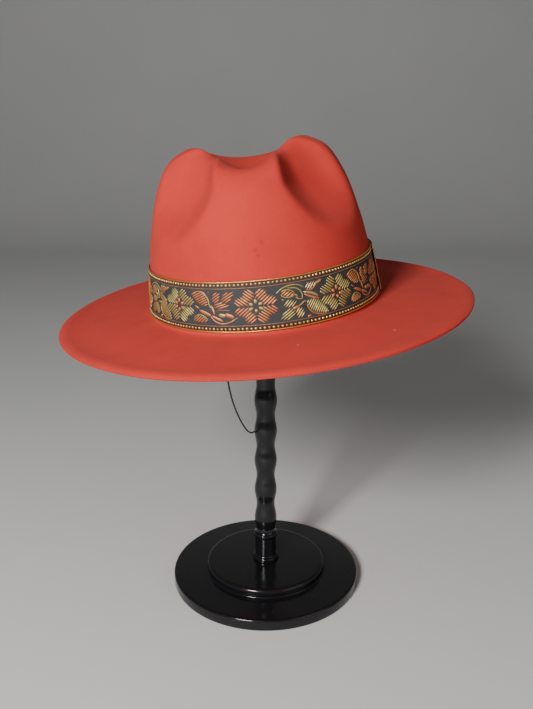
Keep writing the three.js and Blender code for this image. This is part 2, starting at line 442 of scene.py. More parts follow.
lacquerFinish = {
    "bump": {"Strength": 0.06, "Distance": 0.0006},
    "surface": {"Specular IOR Level": 0.3, "Coat Weight": 0.2, "Coat Roughness": 0.1},
}


def makeLacquerMaterial():
    material, tree, shader = makeMaterial("blackLacquer", lacquerFinish["surface"])
    scuff = useGroup(tree, scuffGroup).outputs
    wire(tree, shader, scuff["Color"], scuff["Roughness"], scuff["Height"], lacquerFinish["bump"])
    return material


cordFinish = {
    "plies": {"Scale": 420, "Distortion": 0.6},
    "deep": (0.006, 0.006, 0.006, 1),
    "pale": (0.035, 0.033, 0.032, 1),
    "roughness": (0.85, 0.65),
    "bump": {"Strength": 0.5, "Distance": 0.0002},
}


def makeCordMaterial():
    material, tree, shader = makeMaterial("blackCord", {})
    coords = addNode(tree, "ShaderNodeTexCoord").outputs["Object"]
    wave = addNode(tree, "ShaderNodeTexWave", cordFinish["plies"], bands_direction="DIAGONAL")
    tree.links.new(coords, wave.inputs["Vector"])
    plies = wave.outputs["Fac"]
    color = blendColors(tree, plies, cordFinish["deep"], cordFinish["pale"])
    wire(tree, shader, color, spread(tree, plies, (0, 1), cordFinish["roughness"]), plies, cordFinish["bump"])
    return material


floorFinish = {
    "mottleSize": 3,
    "first": (0.62, 0.62, 0.61, 1),
    "second": (0.68, 0.675, 0.66, 1),
    "surface": {"Roughness": 0.7},
}


def makeFloorMaterial():
    material, tree, shader = makeMaterial("paleFloor", floorFinish["surface"])
    coords = addNode(tree, "ShaderNodeTexCoord").outputs["Object"]
    mottle = grainNoise(tree, coords, floorFinish["mottleSize"])
    color = blendColors(tree, mottle, floorFinish["first"], floorFinish["second"])
    tree.links.new(color, shader.inputs["Base Color"])
    return material


# pieces


def smoothShaded(mesh, material):
    mesh.polygons.foreach_set("use_smooth", [True] * len(mesh.polygons))
    mesh.materials.append(material)


def makePiece(name, mesh, material, node=None):
    smoothShaded(mesh, material)
    piece = bpy.data.objects.new(name, mesh)
    bpy.context.collection.objects.link(piece)
    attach(piece, body)
    if node:
        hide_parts(node)
    return piece


def meshFrom(shape, name):
    mesh = bpy.data.meshes.new(name)
    shape.to_mesh(mesh)
    shape.free()
    return mesh


# a line of points, spun once round the upright axis
def spunShape(points, steps, weld):
    shape = bmesh.new()
    line = [shape.verts.new(point) for point in points]
    edges = [shape.edges.new(pair) for pair in zip(line, line[1:])]
    bmesh.ops.spin(
        shape,
        geom=line + edges,
        axis=(0, 0, 1),
        cent=(0, 0, 0),
        angle=fullTurn,
        steps=steps,
        use_merge=True,
    )
    bmesh.ops.remove_doubles(shape, verts=shape.verts, dist=weld)
    return shape


# cord: both ends caught inside the crown, a loose loop hanging behind the post

hangCord = {
    "radius": 0.6,
    "length": 0.326,  # metres
    "sideSteps": 3,
    "spanSteps": 10,
    "route": [
        (-29.5, -88, 245),
        (-29.5, -88, 238),
        (-28.5, -86, 226),
        (-27, -80.5, 212),
        (-25.5, -72, 197),
        (-24.5, -65.5, 187.5),
        (-22.9, -57, 176),
        (-20, -44.5, 161.5),
        (-15.6, -25, 143.5),
        (-12.7, -11, 134),
        (-9.95, 3, 128),
        (-6.3, 20, 126),
        (-2, 40, 132.5),
        (2.3, 60, 151),
        (5.4, 75, 175),
        (7.9, 86, 205),
        (9.6, 94.2, 233),
        (10, 95.6, 240),
        (10, 95.5, 246),
    ],
}


def makeHangCord():
    curve = bpy.data.curves.new("hangCord", "CURVE")
    curve.dimensions = "3D"
    curve.bevel_depth = hangCord["radius"] * mm
    curve.bevel_resolution = hangCord["sideSteps"]
    curve.resolution_u = hangCord["spanSteps"]
    curve.use_fill_caps = True
    line = curve.splines.new("BEZIER")
    line.bezier_points.add(len(hangCord["route"]) - 1)
    for point, place in zip(line.bezier_points, hangCord["route"]):
        point.co = Vector(place) * mm
        point.handle_left_type = point.handle_right_type = "AUTO"
    curve.materials.append(makeCordMaterial())
    cord = bpy.data.objects.new("hangCord", curve)
    bpy.context.collection.objects.link(cord)
    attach(cord, body)
    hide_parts("hang_cord")


makeHangCord()
print("cord hung")

# hat shape, in millimetres: turn 0 is the front and grows to the wearer's left,
# path runs 0 to 1 down the crown and 1 to 2 out along the brim

hatShape = {
    "rootHalfWidth": 84.5,
    "rootHalfLength": 99,
    "lean": 0.024,
    "leanHeight": 100,
    "place": (-0.7, 1.1, 238.3),
    "pitch": math.radians(0.7),
    "roll": math.radians(5.2),
    # half width, half length and rise of the crown before it is dented
    "crown": [
        (0, 0, 119.5),
        (14, 19, 119),
        (30, 40, 116.5),
        (45.5, 57, 112.6),
        (57, 70, 105.4),
        (64.8, 79, 93),
        (70.5, 85.5, 79),
        (76.2, 91.5, 58),
        (80.3, 95.5, 36),
        (84.5, 99, 2.5),
    ],
    # reach and rise of the brim's upper face
    "brim": [
        (0, 2.5),
        (0.75, 0.75),
        (2.5, 0),
        (18, -0.8),
        (36, -1.9),
        (50, -2.8),
        (57.5, -2.6),
        (62, -2.1),
        (65.6, -2.8),
        (67.8, -4.3),
    ],
    "pinch": {
        "turn": math.radians(39),
        "swing": math.radians(55),
        "noseSpread": math.radians(21),
        "sideSpread": math.radians(39),
        "middle": 0.555,
        "above": 0.36,
        "below": 0.185,
        "depth": 23,
        "roundness": 2.6,
        "inward": 0.3,
        "backward": 0.95,
    },
    "creaseDepth": 29,
    "creaseHalfLength": 82,
    "creaseEnds": 1.2,
    # place along the crease, and its half width there
    "creaseOutline": [(-82, 27), (-60, 27), (-40, 28.5), (-20, 36), (5, 43.5), (30, 45), (55, 41), (82, 34)],
    "crownPerSpan": 120,
    "brimPerSpan": 40,
    "normalStep": 0.004,
    "normalFrom": 0.01,  # path at which the pole's normal is taken
}


# centripetal curve through the rows, with so many points to each span
def smoothRows(rows, perSpan):
    points = np.array(rows, float)
    points = np.vstack([2 * points[0] - points[1], points, 2 * points[-1] - points[-2]])
    result = []
    for index in range(1, len(points) - 2):
        p0, p1, p2, p3 = points[index - 1 : index + 3]
        d0, d1, d2 = (np.linalg.norm(b - a) ** 0.5 for a, b in ((p0, p1), (p1, p2), (p2, p3)))
        start = ((p1 - p0) / d0 - (p2 - p0) / (d0 + d1) + (p2 - p1) / d1) * d1
        end = ((p2 - p1) / d1 - (p3 - p1) / (d1 + d2) + (p3 - p2) / d2) * d1
        for step in range(perSpan):
            t = step / perSpan
            cubic = (2 * p1 - 2 * p2 + start + end) * t**3
            result.append(cubic + (-3 * p1 + 3 * p2 - 2 * start - end) * t**2 + start * t + p1)
    result.append(points[-2])
    return np.array(result)


# distance run at each of the points
def runLength(points):
    return np.concatenate([[0], np.cumsum(np.linalg.norm(np.diff(points, axis=0), axis=1))])


crownRows = smoothRows(hatShape["crown"], hatShape["crownPerSpan"])
crownPath = runLength(crownRows)
crownPath /= crownPath[-1]
brimRows = smoothRows(hatShape["brim"], hatShape["brimPerSpan"])
brimPath = np.linspace(1, 2, len(brimRows))


def feltFace(turn, path):
    turn, path = np.broadcast_arrays(np.asarray(turn, float), np.asarray(path, float))
    turn = (turn + math.pi) % fullTurn - math.pi
    halfWidth, halfLength, rise = (np.interp(path, crownPath, crownRows[:, k]) for k in range(3))
    x, y, z = halfWidth * np.sin(turn), -halfLength * np.cos(turn), rise
    pinch = hatShape["pinch"]
    down = path - pinch["middle"]
    around = np.abs(turn) - pinch["turn"] - pinch["swing"] * np.maximum(0, down)
    acrossPinch = around / np.where(around < 0, pinch["noseSpread"], pinch["sideSpread"])
    alongPinch = down / np.where(down < 0, pinch["above"], pinch["below"])
    reach = np.minimum(np.hypot(acrossPinch, alongPinch), 1)
    push = pinch["depth"] * (1 - reach ** pinch["roundness"]) ** 2
    x = x - np.sign(turn) * pinch["inward"] * push
    y = y + pinch["backward"] * push
    outline = np.array(hatShape["creaseOutline"], float)
    across = np.minimum(1, np.abs(x) / np.interp(y, outline[:, 0], outline[:, 1]))
    lengthwise = np.maximum(0, 1 - (y / hatShape["creaseHalfLength"]) ** 2) ** hatShape["creaseEnds"]
    z = z - hatShape["creaseDepth"] * lengthwise * (1 - across**2) ** 2
    lean = hatShape["lean"]
    z = z + lean * x * (z / hatShape["leanHeight"])
    x = x - lean * z
    reachOut, brimRise = (np.interp(path, brimPath, brimRows[:, k]) for k in range(2))
    onBrim = path > 1
    x = np.where(onBrim, (hatShape["rootHalfWidth"] + reachOut) * np.sin(turn) - lean * brimRise, x)
    y = np.where(onBrim, -(hatShape["rootHalfLength"] + reachOut) * np.cos(turn), y)
    return np.stack([x, y, np.where(onBrim, brimRise, z)], axis=-1)


def feltNormal(turn, path):
    step = hatShape["normalStep"]
    near = np.maximum(np.asarray(path, float), hatShape["normalFrom"])
    down = feltFace(turn, np.minimum(near + step, 2)) - feltFace(turn, near - step)
    around = feltFace(turn + step, near) - feltFace(turn - step, near)
    normal = np.cross(down, around)
    return normal / np.linalg.norm(normal, axis=-1, keepdims=True)


hatTurn = np.array(Matrix.Rotation(hatShape["pitch"], 3, "X") @ Matrix.Rotation(-hatShape["roll"], 3, "Y"))


def onStand(points):
    return (points @ hatTurn.T + np.array(hatShape["place"])) * mm


# felt body: a disc spun from a straight line, laid over the hat's shape, then given its wall

feltBody = {
    "around": 216,
    "crownRings": 66,
    "brimPerSpan": 6,
    "wall": 2.2,
    "edgeRound": 0.85,
    "edgeSteps": 4,
    # the brim's edges turn by more than this and lie at least so far out, in metres
    "rimAngle": math.radians(55),
    "rimFrom": 0.13,
    "waver": 0.45,  # uneven hand-blocked surface
    "waverSize": 0.022,
    # path, and the share of the waver there: none under the ribbon
    "waverShare": [(0, 0.6), (0.15, 1), (0.7, 1), (0.76, 0), (1.05, 0), (1.4, 0.6), (2, 1)],
    "weld": 1e-5,
}


def makeFeltBody(material):
    paths = list(np.linspace(0, 1, feltBody["crownRings"]))
    brimSteps = (len(hatShape["brim"]) - 1) * feltBody["brimPerSpan"]
    paths += [1 + (step + 1) / brimSteps for step in range(brimSteps)]
    shape = spunShape([(path, 0, 0) for path in paths], feltBody["around"], feltBody["weld"])
    flat = np.array([vert.co for vert in shape.verts])
    path = np.hypot(flat[:, 0], flat[:, 1])
    turn = np.arctan2(flat[:, 0], -flat[:, 1])
    points = feltFace(turn, path)
    normals = feltNormal(turn, path)
    free = np.interp(path, *np.array(feltBody["waverShare"]).T)
    for vert, point, normal, share in zip(shape.verts, points, normals, free):
        lump = noise.noise(Vector(point) * feltBody["waverSize"])
        vert.co = point + normal * (lump * share * feltBody["waver"])
    for vert, place in zip(shape.verts, onStand(np.array([vert.co for vert in shape.verts]))):
        vert.co = place
    bmesh.ops.recalc_face_normals(shape, faces=shape.faces)
    if max(shape.faces, key=lambda face: face.calc_center_median().z).normal.z < 0:
        bmesh.ops.reverse_faces(shape, faces=shape.faces)
    shape.normal_update()
    bmesh.ops.solidify(shape, geom=shape.faces[:], thickness=feltBody["wall"] * mm)
    shape.normal_update()
    rim = [
        edge
        for edge in shape.edges
        if edge.calc_face_angle(0) > feltBody["rimAngle"]
        and min(vert.co.xy.length for vert in edge.verts) > feltBody["rimFrom"]
    ]
    bmesh.ops.bevel(
        shape,
        geom=rim,
        offset=feltBody["edgeRound"] * mm,
        segments=feltBody["edgeSteps"],
        profile=0.5,
        affect="EDGES",
        material=-1,
    )
    return makePiece("feltBody", meshFrom(shape, "feltBody"), material, "felt_body")


felt = makeFeltBody(makeFeltMaterial())
print("felt body made", len(felt.data.polygons))

# ribbon: its own map runs in millimetres along it from the front, and up from its lower edge

ribbonBand = {
    "width": 32.5,
    "rise": 2.6,
    "ground": 0.5,  # thickness of the cloth under its raised threads
    "gap": 0.3,
    "wall": 1.0,  # with the threads
    "end": math.radians(80),
    "lap": math.radians(16),
    "ramp": math.radians(14),
    "cellsAlong": 420,
    "cellsUp": 10,
    "tableRange": (-2.2 * math.pi, 1.2 * math.pi),
    "tableRows": 4001,
}

turnTable = np.linspace(*ribbonBand["tableRange"], ribbonBand["tableRows"])


def pathAt(rise):
    return np.interp(-(ribbonBand["rise"] + rise), -crownRows[:, 2], crownPath)


lengthTable = runLength(feltFace(turnTable, pathAt(ribbonBand["width"] / 2)))
lengthTable -= np.interp(0, turnTable, lengthTable)


def alongAt(turn):
    return float(np.interp(turn, turnTable, lengthTable))


girth = alongAt(math.pi) - alongAt(-math.pi)
ribbonStart = alongAt(ribbonBand["end"] + ribbonBand["lap"])
ribbonEnd = alongAt(ribbonBand["end"] - fullTurn)


def ribbonFace(along, up, lift):
    along, up, lift = np.broadcast_arrays(*(np.asarray(value, float) for value in (along, up, lift)))
    turn = np.interp(along, lengthTable, turnTable)
    path = pathAt(up)
    turned = ribbonBand["end"] + ribbonBand["lap"] - turn
    climb = np.clip((turned - fullTurn + ribbonBand["ramp"]) / ribbonBand["ramp"], 0, 1)
    climb = climb * climb * (3 - 2 * climb)
    off = ribbonBand["gap"] + climb * (ribbonBand["wall"] + ribbonBand["gap"]) + lift
    return onStand(feltFace(turn, path) + feltNormal(turn, path) * off[..., None])


def makeRibbonBand(material):
    shape = bmesh.new()
    cells = {"x_segments": ribbonBand["cellsAlong"], "y_segments": ribbonBand["cellsUp"]}
    bmesh.ops.create_grid(shape, size=1, **cells)
    flat = np.array([vert.co for vert in shape.verts])
    along = np.interp(flat[:, 0], [-1, 1], [ribbonEnd, ribbonStart])
    up = np.interp(flat[:, 1], [-1, 1], [0, ribbonBand["width"]])
    shape.verts.index_update()
    layer = shape.loops.layers.uv.new("ribbonMap")
    for face in shape.faces:
        for loop in face.loops:
            loop[layer].uv = (along[loop.vert.index], up[loop.vert.index])
    for vert, place in zip(shape.verts, ribbonFace(along, up, ribbonBand["ground"])):
        vert.co = place
    shape.normal_update()
    ribbon = makePiece("ribbonBand", meshFrom(shape, "ribbonBand"), material, "ribbon_band")
    wall = ribbon.modifiers.new("wall", "SOLIDIFY")
    wall.thickness = ribbonBand["ground"] * mm
    wall.offset = -1
    return ribbon


ribbon = makeRibbonBand(makeRibbonMaterial())
print("ribbon laid, girth", round(girth, 1))

# raised threads of the woven pattern, all strands on the ribbon's map

threadShape = {
    "sink": 0.4,  # underside above the ribbon's back
    "height": 0.58,
    "width": 1.25,
    "pitch": 1.66,
    "step": 0.12,  # sampling along a hatch line
    "shortest": 0.9,
    "tip": 0.3,  # share of its size that a thread has at its ends
    "taper": 0.45,
    "linePoints": 6,
    "ringPoints": 6,
}

strands = {shade: [] for shade in threadFinish}


def addStrand(shade, points, width, height=None, tapered=True):
    points = np.array(points, float)
    shares = np.ones(len(points))
    if tapered:
        t = np.linspace(0, 1, len(points))
        swell = np.clip(np.sin(math.pi * t), 0, 1) ** threadShape["taper"]
        shares = threadShape["tip"] + (1 - threadShape["tip"]) * swell
    strands[shade].append((points, shares * width, shares * (height or threadShape["height"])))


# parallel threads that fill a motif's outline
def hatch(shade, inside, place, slant, reach, pitch=None, width=None):
    pitch = pitch or threadShape["pitch"]
    way = np.array([math.cos(slant), math.sin(slant)])
    aside = np.array([-way[1], way[0]])
    samples = np.arange(-reach, reach, threadShape["step"])
    rows = int(reach / pitch)
    for row in range(-rows, rows + 1):
        line = samples[:, None] * way + aside * (row + 0.5) * pitch
        held = np.concatenate([[False], inside(line[:, 0], line[:, 1]), [False]]).astype(int)
        starts, ends = np.flatnonzero(np.diff(held) == 1), np.flatnonzero(np.diff(held) == -1) - 1
        for start, end in zip(starts, ends):
            if samples[end] - samples[start] >= threadShape["shortest"]:
                points = np.linspace(line[start], line[end], threadShape["linePoints"])
                addStrand(shade, points + place, width or threadShape["width"])


flowerShape = {
    "halfWidth": 14.6,
    "halfHeight": 11.7,
    "reach": 16,
    "lobes": 4,  # on each half
    "lobeDepth": 0.27,
    "lobePower": 0.75,
    "slant": math.radians(38),
    "seam": 0.25,
    "eye": 1.7,
    "heart": 4.3,
    "heartPetals": 6,
    "heartStretch": (1.15, 0.95),
    "heartStagger": 0.6,
    "heartWidth": 2.3,
    "heartHeight": 0.7,
}


# tells which points lie in one quarter of the flower
def flowerQuarter(sideways, upward):
    def inside(u, v):
        across, along = u / flowerShape["halfWidth"], v / flowerShape["halfHeight"]
        wave = np.abs(np.sin(flowerShape["lobes"] * np.arctan2(along, across))) ** flowerShape["lobePower"]
        lobe = 1 - flowerShape["lobeDepth"] + flowerShape["lobeDepth"] * wave
        apart = (u * sideways > flowerShape["seam"]) & (v * upward > flowerShape["seam"])
        return (np.hypot(across, along) < lobe) & apart & (np.hypot(u, v) > flowerShape["heart"])

    return inside


def addFlower(place, shade, heartShade):
    rise, run = math.sin(flowerShape["slant"]), math.cos(flowerShape["slant"])
    for sideways in (-1, 1):
        for upward in (-1, 1):
            slant = math.atan2(upward * rise, sideways * run)
            hatch(shade, flowerQuarter(sideways, upward), place, slant, flowerShape["reach"])
    for petal in range(flowerShape["heartPetals"]):
        angle = fullTurn * (petal + 0.5) / flowerShape["heartPetals"]
        way = np.array([math.cos(angle), math.sin(angle)]) * flowerShape["heartStretch"]
        outer = flowerShape["heart"] + flowerShape["heartStagger"] * (petal % 2)
        reaches = np.linspace(flowerShape["eye"], outer, threadShape["linePoints"])
        line = place + reaches[:, None] * way
        addStrand(heartShade, line, flowerShape["heartWidth"], flowerShape["heartHeight"])


leafShape = {
    "half": 0.57,  # of the leaf's width
    "lead": 0.8,
    "fullness": 0.75,
    "pitch": 1.45,
    "threadWidth": 1.12,
    "spinePoints": 8,
    "edgePoints": 14,
    "edgeEnd": 0.02,
    "edgeGap": 0.35,
    "edgeWidth": 0.9,
    "stemWidth": 1.0,
    "stemPerSpan": 5,
}


# a leaf between two points: filled by slanting threads, with an edge thread where it has one
def addLeaf(place, row):
    leaf = dict(zip(leafColumns, row))
    root, tip = np.array(leaf["root"], float), np.array(leaf["tip"], float)
    length = np.linalg.norm(tip - root)
    way = (tip - root) / length
    aside = np.array([-way[1], way[0]])
    middle = (root + tip) / 2

    def bow(t):
        return leaf["bend"] * 4 * t * (1 - t)

    def profile(t):
        swell = np.clip(np.sin(math.pi * np.clip(t, 0, 1) ** leafShape["lead"]), 0, 1)
        return leaf["width"] * leafShape["half"] * swell ** leafShape["fullness"]

    def inside(u, v):
        du, dv = u + middle[0] - root[0], v + middle[1] - root[1]
        t = (du * way[0] + dv * way[1]) / length
        across = du * aside[0] + dv * aside[1] - bow(t)
        return (t > 0) & (t < 1) & (np.abs(across) < profile(t))

    def lineAt(t, offset):
        return place + root + (tip - root) * t[:, None] + aside * offset[:, None]

    if leaf["slant"] is None:
        t = np.linspace(0, 1, leafShape["spinePoints"])
        addStrand(leaf["shade"], lineAt(t, bow(t)), leaf["width"])
    else:
        slant = math.radians(leaf["slant"])
        pitch, width = leafShape["pitch"], leafShape["threadWidth"]
        hatch(leaf["shade"], inside, place + middle, slant, length, pitch, width)
    for side, shade in leaf["edges"].items():
        t = np.linspace(leafShape["edgeEnd"], 1 - leafShape["edgeEnd"], leafShape["edgePoints"])
        offset = side * (profile(t) + leafShape["edgeGap"]) + bow(t)
        addStrand(shade, lineAt(t, offset), leafShape["edgeWidth"])


def addStem(place, row):
    stem = dict(zip(stemColumns, row))
    line = smoothRows(stem["points"], leafShape["stemPerSpan"])
    addStrand(stem["shade"], place + line, leafShape["stemWidth"])


# sprays between the flowers, in millimetres from the middle of each;
# a leaf's slant is that of its threads, in degrees, or None where it is a single thread

leafColumns = ("root", "tip", "width", "shade", "slant", "bend", "edges")
stemColumns = ("shade", "points")

copperSpray = {
    "leaves": [
        ((-3.6, 2.2), (-16.4, 7.6), 7.2, "copper", 24, -1.2, {-1: "copper"}),
        ((0.2, 3.2), (5.4, 9.8), 4.6, "copper", 32, 0, {}),
        ((6.0, 3.6), (15.4, 9.9), 4.6, "copper", 30, 0, {}),
        ((0.4, 0.6), (12.2, 0.9), 3.9, "copper", 16, 0.5, {}),
        ((-10.2, -1.9), (-1.6, -5.4), 2.3, "copper", None, 0, {}),
        ((-15.8, -9.2), (-3.6, -9.2), 4.4, "copper", 38, 1.4, {1: "olive"}),
        ((3.6, -4.6), (8.4, -5.4), 2.6, "olive", None, 0, {}),
        ((8.0, -4.2), (14.0, -6.4), 2.7, "copper", None, 0, {}),
        ((-1.2, -5.2), (6.4, -8.9), 1.6, "copper", None, 0, {}),
        ((-1.4, 1.4), (0.8, -4.6), 1.7, "copper", None, 0.4, {}),
    ],
    "stems": [
        ("copper", [(-2.4, -5.2), (1.2, -9.0), (6.4, -10.4), (12.0, -9.0), (16.2, -6.4)]),
        ("olive", [(-8.2, 9.4), (-5.0, 8.0), (-3.0, 5.0), (-2.4, 1.6), (-1.2, -0.4)]),
        ("copper", [(-13.8, 0.9), (-12.2, 0.2), (-10.4, -0.9)]),
        ("bronze", [(-3.6, 10.0), (-1.6, 9.9)]),
        ("bronze", [(2.0, -1.8), (6.0, -1.6), (12.0, -1.8)]),
    ],
}

greenSpray = {
    "leaves": [
        ((-12.2, 6.1), (-2.8, 4.6), 3.6, "copper", 30, 0.2, {1: "olive", -1: "olive"}),
        ((4.4, 7.0), (13.2, 10.2), 4.0, "silver", 48, 0, {-1: "copper"}),
        ((12.0, 8.6), (17.2, 10.4), 1.9, "copper", None, 0, {}),
        ((2.9, 5.0), (13.4, 0.4), 2.2, "silver", None, 0.7, {}),
        ((3.2, 3.6), (13.8, -0.8), 1.5, "copper", None, -0.5, {}),
        ((-11.4, -1.2), (-1.8, -0.2), 4.6, "olive", 42, 0, {}),
        ((-3.6, -5.0), (-14.0, -10.2), 6.2, "olive", 32, 0, {}),
        ((0.6, -4.0), (-2.8, -11.2), 5.0, "olive", 50, 0, {}),
        ((-5.6, -4.4), (-0.8, -3.2), 2.0, "copper", None, 0, {}),
        ((4.6, -1.4), (19.0, -10.6), 8.2, "olive", 52, 0.3, {-1: "copper"}),
        ((3.6, -10.8), (6.0, -10.3), 1.5, "copper", None, 0, {}),
    ],
    "stems": [
        ("olive", [(-15.2, 6.4), (-11.0, 9.2), (-4.5, 10.6), (0.8, 9.6), (4.0, 7.4)]),
        ("olive", [(-7.0, 9.0), (-2.4, 8.4), (0.6, 6.4), (1.8, 3.4), (1.4, 0.8)]),
        ("olive", [(-2.6, 2.4), (-0.6, 1.2), (2.2, 1.4)]),
        ("olive", [(-1.8, -3.4), (0.8, -2.0), (2.2, -1.0), (4.4, -1.0)]),
        ("silver", [(-12.0, 2.4), (-10.2, 1.8)]),
        ("olive", [(-3.4, 4.6), (-2.0, 3.6), (-1.6, 2.4)]),
    ],
}

patternPlan = {
    "repeats": 5,
    "firstFlower": -3.0,  # the copper flower by the front
    "motifs": [
        {"flower": ("copper", "olive")},
        {"spray": greenSpray},
        {"flower": ("olive", "copper")},
        {"spray": copperSpray},
    ],
    "overhang": 20,  # how far past the ribbon's ends a motif may have its middle
}


def addPattern():
    motifs = patternPlan["motifs"]
    pitch = girth / patternPlan["repeats"] / len(motifs)
    first, last = math.floor(ribbonEnd / pitch) - 1, math.ceil(ribbonStart / pitch) + 1
    for cell in range(first, last + 1):
        at = np.array([patternPlan["firstFlower"] + cell * pitch, ribbonBand["width"] / 2])
        if not ribbonEnd - patternPlan["overhang"] < at[0] < ribbonStart + patternPlan["overhang"]:
            continue
        motif = motifs[cell % len(motifs)]
        if "flower" in motif:
            addFlower(at, *motif["flower"])
            continue
        for leaf in motif["spray"]["leaves"]:
            addLeaf(at, leaf)
        for stem in motif["spray"]["stems"]:
            addStem(at, stem)


# keeps the strands that lie wholly on the ribbon, clear of its turned end
def trimStrands(low, high):
    for shade, rows in strands.items():
        strands[shade] = [row for row in rows if row[0][:, 0].min() > low and row[0][:, 0].max() < high]


borderPlan = {
    "start": 1.4,  # from the stitched end
    "motifStart": 2.2,
    "stop": 1,  # short of the hidden end
    "lines": [
        {"inset": 0.45, "shade": "gold", "width": 1.0},
        {"inset": 4.3, "shade": "bronze", "width": 0.75},
    ],
    "lineStep": 1.6,
    "beadInset": 2.25,
    "beadPitch": 2.75,
    "beads": [{"shade": "gold", "half": 0.95}, {"shade": "silver", "half": 0.78}],
    "beadWidth": (1.9, 0.2),  # of its half length, and more
    "beadHeight": 0.68,
}


def addBorder(low, high, upAt):
    steps = np.arange(low, high, borderPlan["lineStep"])
    for line in borderPlan["lines"]:
        points = [(at, upAt(line["inset"])) for at in steps]
        addStrand(line["shade"], points, line["width"], tapered=False)
    share, more = borderPlan["beadWidth"]
    for index in range(int((high - low) / borderPlan["beadPitch"])):
        bead = borderPlan["beads"][index % len(borderPlan["beads"])]
        at, half = low + (index + 0.5) * borderPlan["beadPitch"], bead["half"]
        alongs = np.linspace(at - half, at + half, threadShape["linePoints"])
        points = [(along, upAt(borderPlan["beadInset"])) for along in alongs]
        addStrand(bead["shade"], points, share * half + more, borderPlan["beadHeight"])


turnedEnd = {
    "stitches": 21,
    "shades": ("copper", "gold"),
    "out": 0.2,
    "slant": 0.3,
    "ends": (0.02, 0.98),  # of its share of the width
    "width": 1.7,
    "height": 0.75,
}


def addTurnedEnd():
    pitch = ribbonBand["width"] / turnedEnd["stitches"]
    middle = ribbonEnd - turnedEnd["out"]
    shares = np.linspace(*turnedEnd["ends"], threadShape["linePoints"])
    for index in range(turnedEnd["stitches"]):
        shade = turnedEnd["shades"][index % 2]
        row = [(middle + turnedEnd["slant"] * (t - 0.5), (index + t) * pitch) for t in shares]
        addStrand(shade, row, turnedEnd["width"], turnedEnd["height"])


def makeStrandPiece(shade, material):
    sides = threadShape["ringPoints"]
    ring = np.linspace(0, math.pi, sides)
    alongs, ups, lifts, faces, maps = [], [], [], [], []
    base = 0
    for points, widths, heights in strands[shade]:
        way = np.gradient(points, axis=0)
        way /= np.linalg.norm(way, axis=1, keepdims=True)
        count = len(points)
        offset = widths[:, None] / 2 * np.cos(ring)
        alongs.append((points[:, :1] - way[:, 1:] * offset).ravel())
        ups.append((points[:, 1:] + way[:, :1] * offset).ravel())
        lifts.append((threadShape["sink"] + heights[:, None] * np.sin(ring)).ravel())
        run = runLength(points)
        maps += [(run[row], column / sides) for row in range(count) for column in range(sides)]
        for row in range(count - 1):
            for column in range(sides):
                a, b = base + row * sides + column, base + row * sides + (column + 1) % sides
                faces.append((a, a + sides, b + sides, b))
        faces.append(tuple(base + column for column in range(sides)))
        faces.append(tuple(base + (count - 1) * sides + column for column in reversed(range(sides))))
        base += count * sides
    places = ribbonFace(np.concatenate(alongs), np.concatenate(ups), np.concatenate(lifts))
    mesh = bpy.data.meshes.new(shade + "Threads")
    mesh.from_pydata(places.tolist(), [], faces)
    layer = mesh.uv_layers.new(name="threadMap")
    for loop in mesh.loops:
        layer.data[loop.index].uv = maps[loop.vertex_index]
    shape = bmesh.new()
    shape.from_mesh(mesh)
    bmesh.ops.recalc_face_normals(shape, faces=shape.faces)
    shape.to_mesh(mesh)
    shape.free()
    return makePiece(shade + "Threads", mesh, material)


addPattern()
borderStop = ribbonStart - borderPlan["stop"]
trimStrands(ribbonEnd + borderPlan["motifStart"], borderStop)
addBorder(ribbonEnd + borderPlan["start"], borderStop, lambda inset: inset)
addBorder(ribbonEnd + borderPlan["start"], borderStop, lambda inset: ribbonBand["width"] - inset)
addTurnedEnd()
threadPieces = [makeStrandPiece(shade, makeThreadMaterial(shade)) for shade in strands]
print("threads woven", [len(piece.data.polygons) for piece in threadPieces])

# stand: turned wood under black lacquer

standShape = {
    "baseSides": 192,
    "postSides": 96,
    # radius, rise and rounding of each corner
    "base": [(0, 0, 0), (76.3, 0, 1.4), (76.3, 9.2, 2.3), (48.7, 9.65, 1.2), (48.7, 16.6, 5.4), (0, 16.6, 0)],
    "collar": [
        (0, 16.9, 0),
        (10.6, 16.9, 0.4),
        (10.6, 19.6, 1.0),
        (8.6, 20.6, 1.0),
        (8.6, 37.4, 0.8),
        (9.6, 38.3, 0.6),
        (9.6, 40.7, 0.6),
        (7.9, 41.8, 0.8),
    ],
    "beads": 5,
    "beadPitch": 25.6,
    "firstBead": 54.2,
    "beadRadius": 9,
    "neckRadius": 7.3,
    "shankRadius": 7.5,
    "shankEnd": 302.4,
    "shankStep": 4,
    "beadRings": 90,
    "topRadius": 42,
    "topDome": 15,
    "topUnder": 302.7,
    "topRise": 326.7,
    # the top's lower edge, inward from its radius and up from its underside, and the drop at its rim
    "topFoot": [(9, 0), (2.5, 3)],
    "topRimDrop": 2,
    "topRings": 20,
    "cornerSteps": 6,
    "cornerReach": 0.49,  # of the shorter side
    "weld": 1e-6,
}


# the outline with each corner turned as an arc
def roundedOutline(corners):
    steps, reach = standShape["cornerSteps"], standShape["cornerReach"]
    result = []
    for index, (radius, rise, rounding) in enumerate(corners):
        corner = Vector((radius, rise))
        if not rounding or index in (0, len(corners) - 1):
            result.append((radius, rise))
            continue
        before = Vector(corners[index - 1][:2]) - corner
        after = Vector(corners[index + 1][:2]) - corner
        cut = min(rounding, before.length * reach, after.length * reach)
        first, last = corner + before.normalized() * cut, corner + after.normalized() * cut
        for step in range(steps + 1):
            t = step / steps
            point = first * (1 - t) ** 2 + corner * 2 * t * (1 - t) + last * t**2
            result.append((point.x, point.y))
    return result


def turnPiece(name, outline, sides, material, node):
    shape = spunShape([(radius * mm, 0, rise * mm) for radius, rise in outline], sides, standShape["weld"])
    bmesh.ops.recalc_face_normals(shape, faces=shape.faces)
    return makePiece(name, meshFrom(shape, name), material, node)


